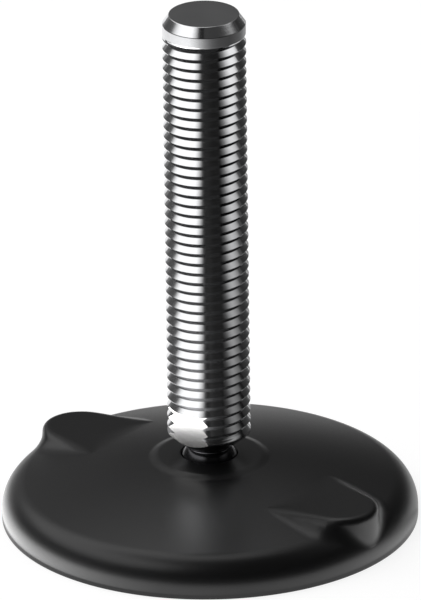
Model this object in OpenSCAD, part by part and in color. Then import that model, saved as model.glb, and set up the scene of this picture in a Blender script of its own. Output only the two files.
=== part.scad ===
// Articulated levelling foot: a turned steel stud with a ball end, snapped into
// a moulded round base with two lugs for bolting it to the floor.
// Millimetres. The origin is where the stud's axis meets the floor, +Z points up
// the stud and the two lugs lie along X.

/* [Stud] */
// Outside diameter of the metric thread
thread_d = 20; // [18:0.5:22]
// Pitch of the thread
thread_pitch = 2.5; // [2:0.25:3]
// Height of the stud's tip above the floor
overall_h = 130; // [100:1:200]
// Length of the chamfer on the tip
tip_chamfer_h = 2.3; // [1:0.1:3]
// Radial depth of the chamfer on the tip
tip_chamfer_r = 1.6; // [0.8:0.1:2.2]
// Plain length below the tip's chamfer
tip_band_h = 2.4; // [1:0.1:4]
// Plain length above the cone at the foot of the thread
foot_band_h = 0.3; // [0.2:0.1:3]
// Angle of the cone under the thread, from level
cone_angle = 40; // [35:0.5:45]
// Distance across the two spanner flats
across_flats = 16; // [15:0.1:17]
// Height of the flats above the foot of the thread
flat_h = 7.2; // [5:0.1:12]

/* [Ball joint] */
// Diameter of the ball
ball_d = 15; // [14.4:0.1:15.2]
// Height of the ball's centre above the floor
ball_z = 12.7; // [12.5:0.1:12.8]
// Diameter of the waist between ball and cone
waist_d = 10.2; // [9.4:0.1:10.6]
// Gap all round between ball and socket
ball_gap = 0.1; // [0.05:0.05:0.2]
// Diameter of the mouth of the socket
mouth_d = 13.9; // [13.8:0.05:14.1]
// Height of the mouth of the socket above the floor
mouth_z = 16.4; // [16.2:0.05:16.5]
// Height of the lead-in at the mouth of the socket
mouth_lead_h = 0.3; // [0.2:0.05:0.4]

/* [Base] */
// Outside diameter of the base
base_d = 100; // [98:0.5:110]
// Height of the upright wall of the rim
rim_wall_h = 2.3; // [1.8:0.1:3]
// Radius of the shoulder between rim and dome
shoulder_r = 7.7; // [6.5:0.1:8.5]
// Width of the chamfer on the foot of the rim
rim_edge = 0.4; // [0.2:0.1:0.8]
// Slope of the dome on top where it leaves the shoulder, from level
top_slope = 14.4; // [14:0.1:14.8]
// Radius of the dome's round
dome_r = 233; // [220:1:250]
// Radius at which the rounded edge of the collar round the ball lies
collar_at = 12.3; // [11.5:0.1:13]
// Rounding of that edge
collar_round = 2.2; // [1.5:0.1:3]
// Fall of the collar's top away from the ball, from level
collar_slope = 4; // [3:0.5:4.5]

/* [Lugs] */
// Height of the level top of a lug
lug_top = 13.1; // [12.6:0.1:13.6]
// Distance of the round end of a lug from the axis
lug_at = 40; // [39:0.1:40.5]
// Radius of the round end of a lug
lug_end_r = 8.8; // [8.4:0.1:9.2]
// Half width of a lug where it leaves the dome
lug_root_w = 11.2; // [10.5:0.1:12]
// Distance between the two fixing holes
hole_spacing = 78; // [77:0.5:79]
// Diameter of a fixing hole
hole_d = 11; // [9:0.5:11.5]
// Skin that closes a fixing hole on top until it is drilled out
hole_skin = 1.8; // [1:0.1:2.5]

/* [Underside] */
// Thickness of the rim at the floor
rim_t = 4; // [3:0.1:5]
// Thickness of the top over the pockets
top_t = 3.5; // [2.5:0.1:4]
// Thickness of the ribs and of the inner rings
rib_t = 2.4; // [1.8:0.1:3]
// Number of ribs
rib_count = 12; // [10:2:14]
// Radius of the inner ring
inner_ring_at = 23; // [22:0.5:24]
// Radius of the outer ring
outer_ring_at = 34.5; // [34:0.5:35.5]
// Radius of the boss round the socket
socket_boss_r = 12.5; // [12:0.1:13]
// Wall round a fixing hole
hole_wall = 3; // [2:0.1:3.5]

/* [Hidden] */
thread_r = thread_d / 2;
ball_r = ball_d / 2;
waist_r = waist_d / 2;
socket_r = ball_r + ball_gap;
waist_z = ball_z + sqrt(ball_r * ball_r - waist_r * waist_r);
foot_z = waist_z + (thread_r - waist_r) * tan(cone_angle);

// basic metric profile: flat crest of an eighth of the pitch, flat root of a quarter
crest_w = thread_pitch / 8;
root_w = thread_pitch / 4;
flank_w = (thread_pitch - crest_w - root_w) / 2;
root_r = thread_r - flank_w / tan(30);
thread_foot = foot_z + foot_band_h;
thread_room = overall_h - tip_chamfer_h - tip_band_h - thread_foot;
turns = floor(thread_room / thread_pitch);

base_r = base_d / 2;
shoulder_at = base_r - shoulder_r;
dome_edge_r = shoulder_at + shoulder_r * sin(top_slope);
dome_edge_z = rim_wall_h + shoulder_r * cos(top_slope);
// the dome's round lies a hair under the shoulder's, so that the two cross
dome_at = dome_edge_r - dome_r * sin(top_slope);
dome_z = dome_edge_z - dome_r * cos(top_slope) - 0.02;
function top_z(r) = dome_z + sqrt(dome_r * dome_r - (r - dome_at) * (r - dome_at));
under_slope = atan((top_z(collar_at) - dome_edge_z) / (dome_edge_r - collar_at));
function under_z(r) = dome_edge_z + (dome_edge_r - r) * tan(under_slope) - top_t / cos(under_slope);
mouth_r = mouth_d / 2;
throat_z = mouth_z - mouth_lead_h;
throat_r = sqrt(socket_r * socket_r - (throat_z - ball_z) * (throat_z - ball_z));
collar_z = mouth_z - (collar_at - mouth_r) * tan(collar_slope) - collar_round / cos(collar_slope);
lug_root_at = dome_at + sqrt(dome_r * dome_r - (lug_top - dome_z) * (lug_top - dome_z));
hole_at = hole_spacing / 2;
hole_r = hole_d / 2;

// Half section of the base above the floor, with the socket open at the top
module base_section() {
    difference() {
        intersection() {
            union() {
                polygon([
                    [0, 0], [base_r - rim_edge, 0], [base_r, rim_edge], [base_r, rim_wall_h],
                    [shoulder_at, rim_wall_h + shoulder_r / 2], [0, rim_wall_h + shoulder_r / 2]
                ]);
                intersection() {
                    translate([dome_at, dome_z]) circle(r = dome_r, $fn = 96);
                    square([dome_edge_r + 0.2, overall_h]);
                }
                translate([shoulder_at, rim_wall_h]) circle(r = shoulder_r, $fn = 96);
                polygon([
                    [0, ball_z], [collar_at, ball_z],
                    [
                        collar_at + collar_round * sin(collar_slope),
                        collar_z + collar_round * cos(collar_slope)
                    ],
                    [mouth_r, mouth_z], [0, mouth_z]
                ]);
                translate([collar_at, collar_z]) circle(r = collar_round, $fn = 96);
            }
            polygon([
                [0, 0], [base_r - rim_edge, 0], [base_r, rim_edge],
                [base_r, overall_h], [0, overall_h]
            ]);
        }
        translate([0, ball_z]) circle(r = socket_r, $fn = 96);
        polygon([
            [0, ball_z], [throat_r, throat_z], [mouth_r, mouth_z],
            [mouth_r, mouth_z + ball_r], [0, mouth_z + ball_r]
        ]);
    }
}

// Plan of one lug: a tongue that widens towards the stud, with a full-round end
module lug_plan() {
    // the straight sides lean so that they run out on the round end
    run = lug_at - lug_root_at;
    side_r = lug_end_r * cos(8);
    lean = acos(side_r / norm([run, lug_root_w])) - atan(run / lug_root_w);
    touch = [lug_at + side_r * sin(lean), side_r * cos(lean)];
    translate([lug_at, 0]) circle(r = lug_end_r, $fn = 96);
    polygon([
        [collar_at, -lug_root_w], [lug_root_at, -lug_root_w], [touch[0], -touch[1]],
        [touch[0], touch[1]], [lug_root_at, lug_root_w], [collar_at, lug_root_w]
    ]);
}

// Half section of the hollow under the top, before the ribs are left standing in it
module hollow_section() {
    inner = base_r - rim_t;
    polygon([
        [0, -1], [inner, -1], [inner, rim_wall_h], [dome_edge_r, under_z(dome_edge_r)], [0, under_z(0)]
    ]);
}

// Ribs, rings and bosses that stand in the hollow
module ribs() {
    high = overall_h / 4;
    translate([0, 0, -2]) {
        cylinder(r = socket_boss_r, h = high, $fn = 96);
        for (at = [inner_ring_at, outer_ring_at]) {
            difference() {
                cylinder(r = at + rib_t / 2, h = high, $fn = 96);
                translate([0, 0, -1]) cylinder(r = at - rib_t / 2, h = high + 2, $fn = 96);
            }
        }
        for (i = [0:rib_count / 2 - 1]) {
            rotate([0, 0, i * 360 / rib_count])
                translate([-base_r, -rib_t / 2, 0]) cube([base_d, rib_t, high]);
        }
        for (side = [-1, 1]) {
            translate([side * hole_at, 0, 0]) cylinder(r = hole_r + hole_wall, h = high, $fn = 96);
        }
    }
}

// Moulded base: rim, dome, collar, two lugs, the ball's socket and a ribbed underside
module base() {
    color("#2b2b2d") difference() {
        union() {
            rotate_extrude($fn = 96) base_section();
            difference() {
                for (turn = [0, 180]) {
                    rotate([0, 0, turn]) linear_extrude(height = lug_top) lug_plan();
                }
                translate([0, 0, -1]) cylinder(r = lug_root_at - 4, h = lug_top + 2, $fn = 96);
            }
        }
        difference() {
            rotate_extrude($fn = 96) hollow_section();
            ribs();
        }
        for (side = [-1, 1]) {
            translate([side * hole_at, 0, -1])
                cylinder(r = hole_r, h = lug_top - hole_skin + 1, $fn = 96);
        }
    }
}

// Half section of the stud: ball, waist, cone, thread and chamfered tip
module stud_section() {
    intersection() {
        translate([0, ball_z]) circle(r = ball_r, $fn = 96);
        translate([0, ball_z - ball_r]) square([ball_r + 1, waist_z - ball_z + ball_r]);
    }
    grooves = [
        for (i = [0:turns - 1])
            let (z = thread_foot + i * thread_pitch)
            each [
                [thread_r, z],
                [root_r, z + flank_w],
                [root_r, z + flank_w + root_w],
                [thread_r, z + 2 * flank_w + root_w]
            ]
    ];
    polygon(concat(
        [[0, ball_z], [waist_r, waist_z], [thread_r, foot_z]],
        grooves,
        [
            [thread_r, overall_h - tip_chamfer_h],
            [thread_r - tip_chamfer_r, overall_h],
            [0, overall_h]
        ]
    ));
}

// Turned steel stud in one piece with its ball, with two spanner flats across the thread
module stud() {
    color("#c9cbcd") difference() {
        rotate_extrude($fn = 96) stud_section();
        for (side = [0, 180]) {
            rotate([0, 0, side])
                translate([-thread_d, across_flats / 2, waist_z])
                    cube([2 * thread_d, thread_d, foot_z - waist_z + flat_h]);
        }
    }
}

base();
stud();
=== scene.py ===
import math

import bmesh
import bpy
import numpy as np
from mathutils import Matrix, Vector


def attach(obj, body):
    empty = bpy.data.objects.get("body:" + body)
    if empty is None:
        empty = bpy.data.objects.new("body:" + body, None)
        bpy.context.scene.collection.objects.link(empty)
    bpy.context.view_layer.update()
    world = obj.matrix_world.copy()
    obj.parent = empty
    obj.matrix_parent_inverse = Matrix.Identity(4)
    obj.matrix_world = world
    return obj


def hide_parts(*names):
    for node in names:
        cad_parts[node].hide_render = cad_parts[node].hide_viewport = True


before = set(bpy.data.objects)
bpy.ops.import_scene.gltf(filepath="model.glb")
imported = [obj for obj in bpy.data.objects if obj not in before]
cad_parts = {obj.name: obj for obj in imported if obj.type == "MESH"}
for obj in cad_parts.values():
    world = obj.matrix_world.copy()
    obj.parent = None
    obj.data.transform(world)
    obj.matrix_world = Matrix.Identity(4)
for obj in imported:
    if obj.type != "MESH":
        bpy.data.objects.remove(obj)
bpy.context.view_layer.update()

# The base: a round foot of black glass-filled polyamide, injection moulded in one piece.
# A low dome spreads the load from the ball's socket in the middle to an upright rim,
# and a low collar with a soft edge frames the mouth of the socket.
MM = 0.001
base_r = 50.0
rim_wall_h = 2.3
rim_edge = 0.4
shoulder_r = 7.7
top_slope = 14.4
dome_r = 233.0
collar_slope = 4.0
collar_end, collar_soft = 14.8, 2.8
mouth_r, mouth_z = 6.95, 16.4
ball_z = 12.7
socket_r = 7.6
base_turns = 320

shoulder_at = base_r - shoulder_r
lean_in, lean_up = math.sin(math.radians(top_slope)), math.cos(math.radians(top_slope))
dome_edge_r, dome_edge_z = shoulder_at + shoulder_r * lean_in, rim_wall_h + shoulder_r * lean_up
dome_at, dome_z = dome_edge_r - dome_r * lean_in, dome_edge_z - dome_r * lean_up


def arc(centre, radius, start, end, steps):
    """Points of a circle about centre (r, z), from angle start to angle end in degrees,
    counted from +r towards +z."""
    t = np.radians(np.linspace(start, end, steps))
    return np.column_stack([centre[0] + radius * np.cos(t), centre[1] + radius * np.sin(t)])


def line(start, end, steps):
    """Points at equal steps on the straight line between two points, without the last one."""
    t = np.linspace(0.0, 1.0, steps, endpoint=False)[:, None]
    return np.asarray(start) * (1 - t) + np.asarray(end) * t


def turned(profile, turns):
    """A profile of (r, z) points carried once round the Z axis: each point becomes a ring of
    points (r cos a, r sin a, z), and four-sided faces join neighbouring rings."""
    a = np.arange(turns) * (2 * np.pi / turns)
    r, z = profile[:, 0, None], profile[:, 1, None]
    points = np.stack([r * np.cos(a), r * np.sin(a), z + 0 * a], axis=-1).reshape(-1, 3)
    i = np.arange(len(profile) - 1)[:, None] * turns
    j = np.arange(turns)[None]
    k = (j + 1) % turns
    faces = np.stack([i + j, i + turns + j, i + turns + k, i + k], axis=-1).reshape(-1, 4)
    return points, faces


def moulded(name, shells, sharp):
    """One mesh from several surfaces given as (points in mm, faces): poles and seams are merged,
    and edges that turn by more than sharp degrees stay crisp."""
    bm = bmesh.new()
    for points, faces in shells:
        mesh = bpy.data.meshes.new(name)
        mesh.from_pydata((points * MM).tolist(), [], faces.tolist())
        bm.from_mesh(mesh)
        bpy.data.meshes.remove(mesh)
    bmesh.ops.remove_doubles(bm, verts=bm.verts, dist=0.002 * MM)
    bmesh.ops.dissolve_degenerate(bm, edges=bm.edges, dist=0.001 * MM)
    mesh = bpy.data.meshes.new(name)
    bm.to_mesh(mesh)
    bm.free()
    mesh.shade_smooth()
    mesh.set_sharp_from_angle(angle=math.radians(sharp))
    piece = bpy.data.objects.new(name, mesh)
    bpy.context.scene.collection.objects.link(piece)
    return piece


def top_z(r):
    """Height of the base's top at radius r: a circle of large radius, and within the collar a
    straight slope down from the mouth, with a smooth change from one to the other over the
    collar's edge."""
    dome = dome_z + np.sqrt(dome_r**2 - (r - dome_at) ** 2)
    collar = mouth_z - (r - mouth_r) * math.tan(math.radians(collar_slope))
    t = np.clip((collar_end - r) / collar_soft, 0.0, 1.0)
    return dome + (collar - dome) * t * t * (3 - 2 * t)


mouth_lead_h, mouth_lip = 0.3, 0.15
lip_end = 0.25
row_gap = 0.4
rim_rows, edge_rows = 4, 6
throat_z = mouth_z - mouth_lead_h
throat_r = math.sqrt(socket_r**2 - (throat_z - ball_z) ** 2)
mouth_edge = np.array([mouth_r, mouth_z])
over = np.concatenate([np.linspace(mouth_r + lip_end, collar_end + 1, 60),
                       np.linspace(collar_end + 1.5, dome_edge_r, 60)])
skin_profile = np.vstack([
    line((throat_r, throat_z), mouth_edge - (0, mouth_lip), 3),
    mouth_edge + [(0.04, -0.05), (0.12, -0.012)],
    np.column_stack([over, top_z(over)]),
    arc((shoulder_at, rim_wall_h), shoulder_r, 90 - top_slope, 0, 40)[1:],
    line((base_r, rim_wall_h - row_gap), (base_r, rim_edge), rim_rows),
    arc((base_r - rim_edge, rim_edge), rim_edge, 0, -90, edge_rows),
    [(base_r - rim_edge - row_gap, 0.0)],
])
skin = turned(skin_profile, base_turns)


# The lugs: two tongues in one with the base, with level tops, drafted walls and a large
# rounding in the corner at their foot. The fixing hole under each is closed by a thin skin.
lug_top = 13.1
lug_at = 40.0
lug_end_r = 8.8
lug_root_w = 11.2
lug_draft = math.radians(4.0)
lug_foot_end, lug_foot_side = 6.0, 9.0
lug_edge = 1.7
lug_ridge_in = 7.0
root_run, root_soft = 4.0, 0.6

on_dome = skin_profile[(skin_profile[:, 0] > collar_end) & (skin_profile[:, 0] < base_r - 1)]
lug_root_at = float(np.interp(-lug_top, -on_dome[:, 1], on_dome[:, 0]))
lug_run = lug_at - lug_root_at
lug_lean = (math.acos(lug_end_r / math.hypot(lug_run, lug_root_w))
            - math.atan(lug_run / lug_root_w))


def lug_outline(side_steps, end_steps):
    """Points and outward directions in plan along the top edge of a lug: a straight side that
    leans in, the round end, and the other side. A side starts where the dome is as high as the
    lug."""
    lean = lug_lean
    touch = np.array([lug_at + lug_end_r * math.sin(lean), lug_end_r * math.cos(lean)])
    along = np.array([-math.cos(lean), math.sin(lean)])
    reach = -touch @ along + math.sqrt((touch @ along) ** 2 - touch @ touch + lug_root_at**2)
    t = np.linspace(1.0, 0.0, side_steps, endpoint=False)[:, None]
    side = touch + along * reach * t
    out = np.tile([math.sin(lean), math.cos(lean)], (side_steps, 1))
    a = np.linspace(math.pi / 2 - lean, -math.pi / 2 + lean, end_steps)
    round_out = np.column_stack([np.cos(a), np.sin(a)])
    end = np.array([lug_at, 0.0]) + lug_end_r * round_out
    flip = np.array([1.0, -1.0])
    return (np.vstack([side, end, side[::-1] * flip]),
            np.vstack([out, round_out, out[::-1] * flip]))


def grid(rows, columns):
    """Four-sided faces that join the points of a grid, which are counted along its rows."""
    i, j = np.arange(rows - 1)[:, None] * columns, np.arange(columns - 1)[None]
    corners = [i + j, i + columns + j, i + columns + j + 1, i + j + 1]
    return np.stack(corners, axis=-1).reshape(-1, 4)


def lug_skin():
    """A section carried along the lug's outline. Square to the outline, the section runs level
    over the top, turns over a rounded edge, goes down the drafted wall and leaves it on a circle
    that touches both the wall and the base's own skin. Where the wall is lower than that circle,
    the circle starts at the edge."""
    at, out = lug_outline(side_steps=60, end_steps=81)
    # the base's skin outside the lug, square to the outline: distance s from the edge, height z
    fine = 400
    inward = np.linspace(collar_end, dome_edge_r, fine)
    fall = np.vstack([
        np.column_stack([inward, top_z(inward)]),
        arc((shoulder_at, rim_wall_h), shoulder_r, 90 - top_slope, 0, fine),
        line((base_r, rim_wall_h - 0.02), (base_r, rim_edge), fine // 10),
    ])
    pn, pp = np.sum(at * out, axis=1)[:, None], np.sum(at * at, axis=1)[:, None]
    room = pn**2 - pp + fall[:, 0] ** 2
    s = -pn + np.sqrt(np.maximum(room, 0.0))
    z = np.broadcast_to(fall[:, 1], s.shape)
    foot_r = lug_foot_end + (lug_foot_side - lug_foot_end) * out[:, 1:] ** 2
    ds, dz = np.gradient(s, axis=1), np.gradient(z, axis=1)
    size = np.maximum(np.hypot(ds, dz), 1e-9)
    cs, cz = s - dz / size * foot_r, z + ds / size * foot_r
    # distance of each circle's centre from the wall below the edge
    wall = np.array([math.sin(lug_draft), -math.cos(lug_draft)])
    down = np.maximum(cs * wall[0] + (cz - lug_top) * wall[1], 0.0)
    gap = np.hypot(cs - down * wall[0], cz - lug_top - down * wall[1])
    fits = (gap >= foot_r) & (s > 0) & (room > 0) & (cs > 0)
    first = np.argmax(fits, axis=1)
    row = np.arange(len(at))
    foot = np.column_stack([s[row, first], z[row, first]])
    centre = np.column_stack([cs[row, first], cz[row, first]])
    down = down[row, first]
    top = down[:, None] * wall + np.array([0.0, lug_top])
    # the section: wall, then the arc from its lower end to the base's skin
    a0 = np.arctan2(top[:, 1] - centre[:, 1], top[:, 0] - centre[:, 0])
    a1 = np.arctan2(foot[:, 1] - centre[:, 1], foot[:, 0] - centre[:, 0])
    a0 = np.where(a0 > 0, a0 - 2 * np.pi, a0)
    a1 = np.where(a1 > 0, a1 - 2 * np.pi, a1)
    t = np.linspace(0.0, 1.0, 18)
    angle = a0[:, None] + (a1 - a0)[:, None] * t
    radius = np.hypot(*(foot - centre).T)[:, None]
    bow = np.stack([centre[:, 0, None] + radius * np.cos(angle),
                    centre[:, 1, None] + radius * np.sin(angle)], axis=-1)
    steps = np.linspace(0.0, 1.0, 8, endpoint=False)[None, :, None]
    edge = np.array([0.0, lug_top])
    drop = edge + (top - edge)[:, None] * steps
    section = np.concatenate([drop, bow], axis=1)
    # the edge is rounded by a curve from the level top to a point a little way down the section
    length = np.concatenate([np.zeros((len(at), 1)), np.cumsum(
        np.hypot(*np.moveaxis(np.diff(section, axis=1), -1, 0)), axis=1)], axis=1)
    most_of_wall = 0.45
    cut = np.minimum(lug_edge, most_of_wall * length[:, -1])
    share = cut[:, None] + (length[:, -1] - cut)[:, None] * np.linspace(0.0, 1.0, 34)
    passed = (length[:, None, :] <= share[:, :, None]).sum(axis=2)
    pick = np.clip(passed - 1, 0, section.shape[1] - 2)
    here, after = length[row[:, None], pick], length[row[:, None], pick + 1]
    w = ((share - here) / np.maximum(after - here, 1e-9))[..., None]
    rest = section[row[:, None], pick] * (1 - w) + section[row[:, None], pick + 1] * w
    b = np.linspace(0.0, 1.0, 9, endpoint=False)[None, :, None]
    lip = np.stack([-cut, np.full(len(at), lug_top)], axis=-1)[:, None]
    over = lip * (1 - b) ** 2 + edge * 2 * b * (1 - b) + rest[:, :1] * b**2
    # the last row dips under the base's own skin
    sunk = rest[:, -1:] + np.array([-0.2, -0.7])
    section = np.concatenate([over, rest, sunk], axis=1)
    # into space: out from the edge by the section's first value, up by its second
    plan = at[:, None] + out[:, None] * section[..., :1]
    skin_points = np.concatenate([plan, section[..., 1:]], axis=-1)
    # the level top is filled from the outline to a ridge line in the lug's middle plane
    ridge = np.clip(at[:, 0] - lug_ridge_in, lug_root_at - lug_ridge_in, lug_at)
    spine = np.column_stack([ridge, 0 * row, np.full(len(at), lug_top)])
    t = np.linspace(0, 1, 16, endpoint=False)[None, :, None]
    inner = spine[:, None] + (skin_points[:, :1] - spine[:, None]) * t
    # it runs into the dome on a soft curve, softest in the middle, and goes on a hair below it
    hair = 0.003
    in_from_root = np.clip((at[:, :1] - at[0, 0]) / root_run, 0.0, 1.0)
    soft = root_soft * in_from_root * (1 - t[..., 0] ** 4) + 0.005
    dome = np.interp(np.hypot(inner[..., 0], inner[..., 1]), on_dome[:, 0], on_dome[:, 1])
    blend = np.maximum(soft - np.abs(dome - lug_top), 0.0) ** 2 / (4 * soft)
    inner[..., 2] = np.maximum(dome, lug_top) + blend - hair
    points = np.concatenate([inner, skin_points], axis=1)
    return points.reshape(-1, 3), grid(*points.shape[:2])


lug_points, lug_faces = lug_skin()
near_lug = (lug_points, lug_faces)
far_lug = (lug_points * [-1.0, -1.0, 1.0], lug_faces)


# The underside: what the mould leaves hollow below the top, with the ball's socket, ribs, rings
# and bosses standing in it. It is plain, so it is taken from the solid as it is.
hole_at, hole_r, hole_top = 39.0, 5.5, 12.0
below_skin, inside_rim = 0.25, 0.5


def underside():
    """The solid's own faces that lie under the top skin: socket, ribs, rings, bosses and blind
    holes. A face is kept if its middle lies below the skin at its radius, or in a fixing hole."""
    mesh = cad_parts["base"].data
    points = np.empty(len(mesh.vertices) * 3)
    mesh.vertices.foreach_get("co", points)
    points = points.reshape(-1, 3) / MM
    faces = np.empty(len(mesh.polygons) * 3, dtype=int)
    mesh.polygons.foreach_get("vertices", faces)
    faces = faces.reshape(-1, 3)
    middle = points[faces].mean(axis=1)
    r = np.hypot(middle[:, 0], middle[:, 1])
    upper = skin_profile[:-(rim_rows + edge_rows)]
    top = np.interp(r, upper[:, 0], upper[:, 1])
    from_hole = np.hypot(np.abs(middle[:, 0]) - hole_at, middle[:, 1])
    hole = (from_hole < hole_r + 0.1) & (middle[:, 2] < hole_top)
    below = (middle[:, 2] < top - below_skin) & (r < base_r - inside_rim)
    return points, faces[below | hole]


base = moulded("base_moulding", [skin, near_lug, far_lug, underside()], 35)


def linear(colour):
    """An sRGB hex colour as linear red, green, blue and alpha."""
    c = np.array([int(colour[k:k + 2], 16) for k in (1, 3, 5)]) / 255.0
    c = np.where(c <= 0.04045, c / 12.92, ((c + 0.055) / 1.055) ** 2.4)
    return (*c.tolist(), 1.0)


def add(tree, kind, settings=None, **links):
    """Adds a node, sets its properties and inputs by name, and links outputs to its inputs."""
    node = tree.nodes.new(kind)
    for key, value in (settings or {}).items():
        if key in node.inputs:
            node.inputs[key].default_value = value
        else:
            setattr(node, key, value)
    for key, source in links.items():
        tree.links.new(source, node.inputs[key.replace("_", " ")])
    return node


def shader(name):
    """A new material with its Principled shader, and the tree that holds it."""
    material = bpy.data.materials.new(name)
    material.use_nodes = True
    tree = material.node_tree
    return material, tree, tree.nodes["Principled BSDF"]


def two_tones(tree, share, dark, light):
    """A colour between two sRGB hex colours, by a share from 0 to 1."""
    tone = add(tree, "ShaderNodeValToRGB", Fac=share)
    tone.color_ramp.elements[0].color = linear(dark)
    tone.color_ramp.elements[1].color = linear(light)
    return tone.outputs["Color"]


# Black polyamide from a spark-eroded mould: a satin skin with a fine grain about 0.4 mm wide,
# a touch greyer where the glass fibres lie near the surface.
grain_width, cloud_width = 0.4 * MM, 14 * MM
grain_depth = 0.02 * MM
polyamide, tree, surface = shader("moulded black polyamide")
where = add(tree, "ShaderNodeTexCoord").outputs["Object"]
grain = add(tree, "ShaderNodeTexNoise",
            {"Scale": 1 / grain_width, "Detail": 2.0, "Roughness": 0.6}, Vector=where)
cloud = add(tree, "ShaderNodeTexNoise", {"Scale": 1 / cloud_width, "Detail": 3.0}, Vector=where)
tone = two_tones(tree, cloud.outputs["Fac"], "#09090a", "#0d0d0e")
gloss = add(tree, "ShaderNodeMapRange", {"To Min": 0.28, "To Max": 0.40},
            Value=grain.outputs["Fac"])
bump = add(tree, "ShaderNodeBump", {"Strength": 0.2, "Distance": grain_depth},
           Height=grain.outputs["Fac"])
tree.links.new(tone, surface.inputs["Base Color"])
tree.links.new(gloss.outputs["Result"], surface.inputs["Roughness"])
tree.links.new(bump.outputs["Normal"], surface.inputs["Normal"])
surface.inputs["IOR"].default_value = 1.53
base.data.materials.append(polyamide)
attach(base, "base")
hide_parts("base")


# The stud: turned from bright steel in one piece, ball, waist, cone, thread and chamfered tip.
# The thread is rolled with a right-hand helix, and two spanner flats are milled across its foot.
thread_r = 10.0
thread_pitch = 2.5
overall_h = 130.0
tip_chamfer_h, tip_chamfer_r = 2.3, 1.6
tip_band_h, foot_band_h = 2.4, 0.3
ball_r, waist_r = 7.5, 5.1
across_flats, flat_h = 16.0, 7.2
cone_angle = math.radians(40.0)
groove_depth = 0.39
run_in, run_out = 0.4, 0.8
stud_turns = 120

waist_z = ball_z + math.sqrt(ball_r**2 - waist_r**2)
foot_z = waist_z + (thread_r - waist_r) * math.tan(cone_angle)
thread_foot = foot_z + foot_band_h
thread_head = overall_h - tip_chamfer_h - tip_band_h


def thread_skin():
    """A metric thread section carried up a right-hand helix: depth is a function of the place in
    the pitch, height grows by one pitch a turn, and the groove fades out within a turn at each
    end."""
    place = np.arange(8) / 8
    depth = groove_depth * (1 - np.abs(2 * place - 1))
    per_turn = len(place)
    count = math.ceil((thread_head - thread_foot) / thread_pitch) + 2
    turn = np.arange(count * per_turn) // per_turn - 1
    w = turn + np.tile(place, count)
    d = np.tile(depth, count) * thread_pitch
    a = np.arange(stud_turns) * (2 * np.pi / stud_turns)
    rise = thread_pitch * (w[:, None] + a / (2 * np.pi))
    z = np.clip(thread_foot + rise, thread_foot, thread_head)
    ends = np.minimum((z - thread_foot) / run_in, (thread_head - z) / run_out)
    ramp = np.clip(ends, 0.0, 1.0)
    r = thread_r - d[:, None] * ramp
    points = np.stack([r * np.cos(a), r * np.sin(a), z], axis=-1).reshape(-1, 3)
    i = np.arange(len(w) - 1)[:, None] * stud_turns
    j = np.arange(stud_turns - 1)[None]
    corners = [i + j, i + j + 1, i + stud_turns + j + 1, i + stud_turns + j]
    flat = np.stack(corners, axis=-1).reshape(-1, 4)
    # the last column meets the first one a whole turn higher
    i = np.arange(len(w) - 1 - per_turn) * stud_turns
    lift = i + per_turn * stud_turns
    last = stud_turns - 1
    seam = np.stack([i + last, lift, lift + stud_turns, i + stud_turns + last], axis=-1)
    return points, np.vstack([flat, seam])


# ball, rounded waist, cone, and the rounded edge between the cone and the thread
waist, foot = np.array([waist_r, waist_z]), np.array([thread_r, foot_z])
cone = np.array([1.0, math.tan(cone_angle)])
ball_top = math.degrees(math.acos((waist_r + 0.25) / ball_r))
foot_profile = np.vstack([
    arc((0.0, ball_z), ball_r, -90, 0, 24),
    arc((0.0, ball_z), ball_r, 2, ball_top, 12),
    waist + [(0.05, -0.12), (0.02, 0.1), (0.25, 0.25)],
    line(waist + 0.4 * cone, foot - 0.15 * cone, 6),
    foot + [(-0.12, -0.1), (-0.03, 0.0), (0.0, 0.12)],
    [(thread_r, thread_foot)],
])
# band, chamfer and end face; rows close beside each edge keep the faces between them flat
low_edge = np.array([thread_r, overall_h - tip_chamfer_h])
high_edge = np.array([thread_r - tip_chamfer_r, overall_h])
chamfer = np.array([-1.0, tip_chamfer_h / tip_chamfer_r])
tip_profile = np.vstack([
    [(thread_r, thread_head), (thread_r, thread_head + 0.1)],
    low_edge + [(0.0, -0.1), (0.0, -0.05), (-0.012, 0.012)],
    low_edge + chamfer * [[0.05], [0.1]],
    high_edge - chamfer * [[0.08], [0.04]],
    high_edge + [(-0.015, -0.012), (-0.08, 0.0), (-0.15, 0.0)],
    [(r, overall_h) for r in (6.0, 3.5, 1.5, 0.0)],
])
ball_end, tip_end = turned(foot_profile, stud_turns), turned(tip_profile, stud_turns)
stud_sharp = 30
stud = moulded("threaded_stud", [
    (ball_end[0], ball_end[1][:, ::-1]), thread_skin(), (tip_end[0], tip_end[1][:, ::-1]),
], stud_sharp)

# Bright steel, turned and thread-rolled: a mirror-like metal with fine rings round the axis
# about 0.5 mm apart, which blur its reflections a little. Up to just above the waist, the ball
# and the waist are coloured dark grey and are rougher.
ring_gap = 0.5 * MM
black_below, bright_above = (waist_z + 0.3) * MM, (waist_z + 0.9) * MM
steel, tree, surface = shader("turned bright steel")
where = add(tree, "ShaderNodeTexCoord").outputs["Object"]
rings = add(tree, "ShaderNodeMapping", {"Scale": (0.06, 0.06, 1.0)}, Vector=where)
marks = add(tree, "ShaderNodeTexNoise", {"Scale": 1 / ring_gap, "Detail": 3.0},
            Vector=rings.outputs["Vector"])
gloss = add(tree, "ShaderNodeMapRange", {"To Min": 0.08, "To Max": 0.16},
            Value=marks.outputs["Fac"])
tone = two_tones(tree, marks.outputs["Fac"], "#dadbdd", "#e6e6e7")
height = add(tree, "ShaderNodeSeparateXYZ", Vector=where)
bright = add(tree, "ShaderNodeMapRange", {"From Min": black_below, "From Max": bright_above},
             Value=height.outputs["Z"])
# dark grey up to 0.3 mm above the waist, bright steel from 0.9 mm above it
colour_by_height = add(tree, "ShaderNodeMix", {"data_type": "RGBA"})
colour_by_height.inputs[6].default_value = linear("#48484a")
tree.links.new(bright.outputs["Result"], colour_by_height.inputs[0])
tree.links.new(tone, colour_by_height.inputs[7])
tree.links.new(colour_by_height.outputs[2], surface.inputs["Base Color"])
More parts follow.
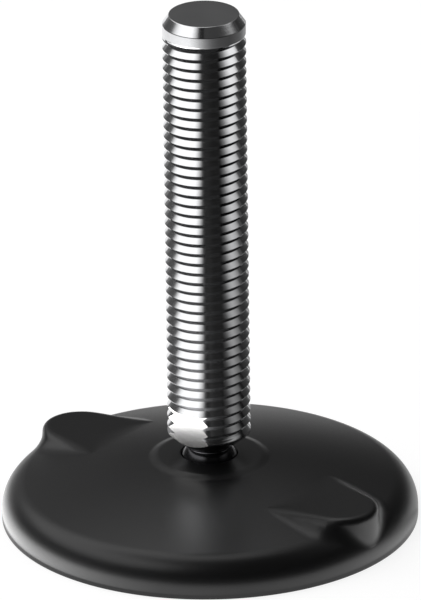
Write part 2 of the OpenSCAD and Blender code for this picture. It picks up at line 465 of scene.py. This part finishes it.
sheen = add(tree, "ShaderNodeMix", {"data_type": "FLOAT"})
sheen.inputs[2].default_value = 0.2
tree.links.new(bright.outputs["Result"], sheen.inputs[0])
tree.links.new(gloss.outputs["Result"], sheen.inputs[3])
tree.links.new(sheen.outputs[0], surface.inputs["Roughness"])
surface.inputs["Metallic"].default_value = 1.0
stud.data.materials.append(steel)

# The spanner flats: two level-topped slabs taken off the foot of the thread by a side mill. Its
# short strokes, about 0.3 mm apart, leave the bright steel duller than the turned rings do.
stroke_gap = 0.3 * MM
slab_length, slab_depth = 24.0, 6.0
milled_steel, tree, surface = shader("milled bright steel")
where = add(tree, "ShaderNodeTexCoord").outputs["Object"]
strokes = add(tree, "ShaderNodeMapping", {"Scale": (0.1, 1.0, 1.0)}, Vector=where)
marks = add(tree, "ShaderNodeTexNoise", {"Scale": 1 / stroke_gap, "Detail": 2.0},
            Vector=strokes.outputs["Vector"])
gloss = add(tree, "ShaderNodeMapRange", {"To Min": 0.14, "To Max": 0.19},
            Value=marks.outputs["Fac"])
tone = two_tones(tree, marks.outputs["Fac"], "#dbdbda", "#e0dfde")
tree.links.new(tone, surface.inputs["Base Color"])
tree.links.new(gloss.outputs["Result"], surface.inputs["Roughness"])
surface.inputs["Metallic"].default_value = 1.0

for side in (-1, 1):
    cutter = bmesh.new()
    bmesh.ops.create_cube(cutter, size=1.0)
    flat_top = foot_z + flat_h
    size = np.array([slab_length, slab_depth, flat_top - waist_z + 1.0])
    middle = np.array([0.0, side * (across_flats + slab_depth) / 2, flat_top - size[2] / 2])
    for v in cutter.verts:
        v.co = (middle + np.array(v.co) * size) * MM
    slab_mesh = bpy.data.meshes.new("flat_slab")
    cutter.to_mesh(slab_mesh)
    cutter.free()
    slab_mesh.materials.append(milled_steel)
    slab = bpy.data.objects.new("flat_slab", slab_mesh)
    bpy.context.scene.collection.objects.link(slab)
    mill = stud.modifiers.new("milled flat", "BOOLEAN")
    mill.operation, mill.object, mill.solver = "DIFFERENCE", slab, "EXACT"
    mill.material_mode = "TRANSFER"
    bpy.context.view_layer.update()
    cut_stud = stud.evaluated_get(bpy.context.evaluated_depsgraph_get())
    milled = bpy.data.meshes.new_from_object(cut_stud)
    stud.modifiers.clear()
    stud.data = milled
    bpy.data.objects.remove(slab)
    bpy.data.meshes.remove(slab_mesh)
stud.data.set_sharp_from_angle(angle=math.radians(stud_sharp))
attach(stud, "stud")
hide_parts("stud")


# The floor and the space round the foot: a white studio with a sheet of matt paper to stand on.
# The camera and mirror reflections see both as white, and the paper keeps a soft shadow.
floor_half = 6
corners = [(x * floor_half, y * floor_half, 0) for x, y in ((-1, -1), (1, -1), (1, 1), (-1, 1))]
floor_mesh = bpy.data.meshes.new("studio_floor")
floor_mesh.from_pydata(corners, [], [(0, 1, 2, 3)])
floor = bpy.data.objects.new("studio_floor", floor_mesh)
bpy.context.scene.collection.objects.link(floor)


def is_seen(tree):
    """One for what the camera sees, be it in a mirror reflection or through glass, else zero."""
    path = add(tree, "ShaderNodeLightPath")
    seen = path.outputs["Is Camera Ray"]
    for ray in ("Is Glossy Ray", "Is Transmission Ray"):
        either = add(tree, "ShaderNodeMath", {"operation": "MAXIMUM"})
        tree.links.new(seen, either.inputs[0])
        tree.links.new(path.outputs[ray], either.inputs[1])
        seen = either.outputs[0]
    return seen


paper = bpy.data.materials.new("white studio paper")
paper.use_nodes = True
tree = paper.node_tree
tree.nodes.clear()
seen = is_seen(tree)
white = add(tree, "ShaderNodeEmission", {"Strength": 0.82})
sheet = add(tree, "ShaderNodeBsdfDiffuse", {"Color": linear("#8a8a8a")})
both = add(tree, "ShaderNodeAddShader")
tree.links.new(white.outputs[0], both.inputs[0])
tree.links.new(sheet.outputs[0], both.inputs[1])
plain = add(tree, "ShaderNodeBsdfDiffuse", {"Color": linear("#d8d8d8")})
choose = add(tree, "ShaderNodeMixShader")
tree.links.new(seen, choose.inputs[0])
tree.links.new(plain.outputs[0], choose.inputs[1])
tree.links.new(both.outputs[0], choose.inputs[2])
tree.links.new(choose.outputs[0], add(tree, "ShaderNodeOutputMaterial").inputs["Surface"])
floor_mesh.materials.append(paper)

world = bpy.data.worlds.new("white studio")
bpy.context.scene.world = world
world.use_nodes = True
tree = world.node_tree
tree.nodes.clear()
seen = is_seen(tree)
level = add(tree, "ShaderNodeMapRange", {"To Min": 0.4, "To Max": 1.0})
tree.links.new(seen, level.inputs["Value"])
sky = add(tree, "ShaderNodeBackground", {"Color": (1, 1, 1, 1)})
tree.links.new(level.outputs["Result"], sky.inputs["Strength"])
tree.links.new(sky.outputs[0], add(tree, "ShaderNodeOutputWorld").inputs["Surface"])


# The light: one large soft lamp on the left and one behind and above the foot, in a dark room.
# What only mirror reflections show are its walls, a window on the right and boards on the floor.
view_azimuth = math.radians(38.5)
lit_height = 0.05


def towards(azimuth, elevation, distance):
    """A point at that distance from the middle of the foot, at an azimuth in degrees to the right
    of the camera and an elevation in degrees."""
    a, e = view_azimuth + np.radians(azimuth), np.radians(elevation)
    return np.stack([np.sin(a) * np.cos(e) * distance, -np.cos(a) * np.cos(e) * distance,
                     np.sin(e) * distance + lit_height], axis=-1)


def lamp(name, azimuth, elevation, distance, size, watts):
    """A soft lamp of that width and height, which faces the middle of the foot."""
    light = bpy.data.lights.new(name, "AREA")
    light.shape, light.energy = "RECTANGLE", watts
    light.size, light.size_y = size
    holder = bpy.data.objects.new(name, light)
    at = towards(azimuth, elevation, distance)
    aim = Vector(at) - Vector((0, 0, lit_height))
    holder.location = at
    holder.rotation_euler = aim.to_track_quat("Z", "Y").to_euler()
    bpy.context.scene.collection.objects.link(holder)
    return holder


lamp("left_lamp", -95, 49, 1.5, (2.4, 1.2), 13).visible_glossy = False
lamp("top_lamp", -155, 74, 1.5, (0.95, 0.95), 2.6)


def card(name, points, glow, cover=1.0):
    """Puts a grid of points up as a card that only mirror reflections show, with a glow for each
    point and the share of what lies behind that the card covers there."""
    rows_columns = points.shape[:2]
    mesh = bpy.data.meshes.new(name)
    mesh.from_pydata(points.reshape(-1, 3).tolist(), [], grid(*rows_columns).tolist())
    for key, values in (("glow", glow), ("cover", cover)):
        level = mesh.attributes.new(key, "FLOAT", "POINT")
        values = np.broadcast_to(values, rows_columns).ravel().astype(np.float32)
        level.data.foreach_set("value", values)
    cloth = bpy.data.materials.new(name)
    cloth.use_nodes = True
    tree = cloth.node_tree
    tree.nodes.clear()
    glow = add(tree, "ShaderNodeAttribute", {"attribute_name": "glow"})
    cover = add(tree, "ShaderNodeAttribute", {"attribute_name": "cover"})
    light = add(tree, "ShaderNodeEmission", Strength=glow.outputs["Fac"])
    gauze = add(tree, "ShaderNodeMixShader", Fac=cover.outputs["Fac"])
    tree.links.new(add(tree, "ShaderNodeBsdfTransparent").outputs[0], gauze.inputs[1])
    tree.links.new(light.outputs[0], gauze.inputs[2])
    add(tree, "ShaderNodeOutputMaterial", Surface=gauze.outputs[0])
    mesh.materials.append(cloth)
    sheet = bpy.data.objects.new(name, mesh)
    bpy.context.scene.collection.objects.link(sheet)
    sheet.visible_camera = False
    sheet.visible_diffuse = False
    sheet.visible_shadow = False


along, upward = np.linspace(0, 1, 49)[:, None], np.linspace(0, 1, 25)[None]


def between(ends, t):
    """The value at share t of the way from the first end to the second."""
    return ends[0] + (ends[1] - ends[0]) * t


def standing(azimuths, lows, highs, distance):
    """Points of a card on part of a sphere round the foot, between two azimuths in degrees. The
    elevations of its lower and upper edge are given at equal steps from one end to the other."""
    low = np.interp(along, np.linspace(0, 1, len(lows)), lows)
    high = np.interp(along, np.linspace(0, 1, len(highs)), highs)
    return towards(between(azimuths, along) + 0 * upward, low + (high - low) * upward, distance)


def lying(azimuths, radii, height):
    """Points of a card just above the floor, on a sector of a ring round the foot."""
    points = towards(between(azimuths, along) + 0 * upward, 0 * along + 0 * upward,
                     between(radii, upward))
    points[..., 2] = height
    return points


def fade(t, at, levels):
    """Levels along t, by straight lines between the given places."""
    return np.interp(t, at, levels)


# the dark walls all round: dim on the left, darker to the right, with a glow high up at the back
room_r = 2.2
turn = (-130, 110)
card("dark_room", standing(turn, (-2, -2), (90, 90), room_r),
     fade(between(turn, along), [-130, -95, -60, -20, 20, 110],
          [0.09, 0.09, 0.05, 0.03, 0.012, 0.012]))
turn = (110, 230)
card("back_wall", standing(turn, (0, 0), (90, 90), room_r),
     fade(90 * upward, [0, 8, 18, 25, 32, 40, 50, 65],
          [0.3, 0.14, 0.085, 0.085, 0.2, 0.42, 0.62, 0.5])
     * fade(between(turn, along), [110, 150, 170, 180, 200, 230],
            [0.35, 0.45, 0.85, 1.0, 1.0, 0.8]))
card("back_left_wall", standing((184, 220), (6, 6), (40, 40), 2.1),
     fade(along, [0, 0.4, 1], [0.1, 0.3, 0.26]))

# the softbox on the left and the window on the right, which make the bright stripes on the
# thread, and a dim wall beside the window
turn = (-148, -12)
card("softbox", standing(turn, (21, 24, 31, 38.5, 44), (56, 62, 66, 66, 66), 1.9),
     fade(between(turn, along), [-148, -124, -41, -29, -17], [0.9, 1.4, 1.4, 0.8, 0.04])
     * fade(upward, [0, 0.1], [0.2, 1]))
turn = (44, 106)
card("right_window", standing(turn, (50, 44.5, 38, 31.5, 27), (59, 53, 47, 41, 37), 1.9),
     1.5 * fade(between(turn, along), [44, 60, 81, 98, 106], [0, 0.2, 0.85, 1, 0.7])
     * fade(upward, [0, 0.25], [0.2, 1]))
card("right_wall", standing((0, 78), (44, 41, 37, 30), (52, 49, 45, 38), 1.95), 0.06)

# a gauze close by on the right dims the window for the lower part of the stud
turn, low, high = (40, 112), 2, 58
rise = between((low, high), upward)
card("right_shade", standing(turn, (low, low), (high, high), 0.20),
     0.2 * fade(rise, [20, 28], [0.05, 1])
     * fade(between(turn, along), [44, 60, 81, 98, 104], [0, 0.3, 1, 1, 0.4]),
     fade(rise, [30, high], [1, 0]))

# boards on the floor, bright on the left and by the rim, and the dim floor beyond them
board_z, floor_z = 0.001, 0.0005
board_r = 0.0505
turn, reach = (-140, -15), (board_r, 0.20)
card("left_board", lying(turn, reach, board_z),
     fade(between(turn, along), [-140, -120, -105, -90, -75, -60, -50, -40, -30, -15],
          [0.8, 1.6, 2.4, 3.4, 4.6, 4.6, 4.2, 3.3, 2.5, 1.6])
     * fade(between(reach, upward), [0.12, 0.20], [1, 0.5]))
floor_at = [-110, -60, -42, -27, -11, 5, 20, 38, 76, 116, 140, 165]
floor_glow = [1.1, 1.35, 1.35, 1.06, 0.61, 0.3, 0.15, 0.09, 0.07, 0.14, 0.3, 0.4]
turn, reach = (-15, 90), (board_r, 0.17)
board_end = fade(between(turn, along), [-15, 10, 40, 60, 90], [0.105, 0.1, 0.095, 0.13, 0.16])
near = np.clip((board_end - between(reach, upward)) / 0.025, 0, 1)
card("rim_board", lying(turn, reach, board_z),
     near * fade(between(turn, along), [-15, 10, 40, 50, 62, 75, 90],
                 [1.6, 1.2, 1.5, 1.7, 1.7, 1.3, 0.6])
     + (1 - near) * fade(between(turn, along), floor_at, floor_glow))
turn = (-110, 165)
card("mid_floor", lying(turn, (0.17, 0.34), floor_z),
     fade(between(turn, along), floor_at, floor_glow))
turn = (-135, 165)
card("far_floor", lying(turn, (0.34, room_r), floor_z),
     fade(between(turn, along), [110, 140, 165], [0.03, 0.25, 0.35]))


# The camera: far away with a long lens, because the picture shows hardly any perspective,
# turned a little about its own axis as in the picture. The scale holds 30 mm in front of the
# base's middle, between the depth of the base's sides and that of the stud's tip.
view_elevation, view_roll = math.radians(23.37), math.radians(0.73)
pixels_per_mm = 4.1932
pixels_high = 600
centre_right, centre_up = 0.32, 215.78
lens, sensor = 1000.0, 36.0
scale_depth = 0.030

frame_height = pixels_high / pixels_per_mm * MM
right = np.array([math.cos(view_azimuth), math.sin(view_azimuth), 0.0])
back = np.array([math.sin(view_azimuth) * math.cos(view_elevation),
                 -math.cos(view_azimuth) * math.cos(view_elevation), math.sin(view_elevation)])
up = np.cross(back, right)
right, up = (right * math.cos(view_roll) - up * math.sin(view_roll),
             right * math.sin(view_roll) + up * math.cos(view_roll))
middle = (right * centre_right + up * centre_up) / pixels_per_mm * MM
camera_data = bpy.data.cameras.new("camera")
camera_data.lens, camera_data.sensor_width, camera_data.sensor_fit = lens, sensor, "AUTO"
camera_data.clip_end = 100.0
camera = bpy.data.objects.new("camera", camera_data)
stand = Matrix((right, up, back)).transposed().to_4x4()
stand.translation = middle + back * (frame_height * lens / sensor + scale_depth)
camera.matrix_world = stand
bpy.context.scene.collection.objects.link(camera)
bpy.context.scene.camera = camera
bpy.context.scene.view_settings.view_transform = "Standard"
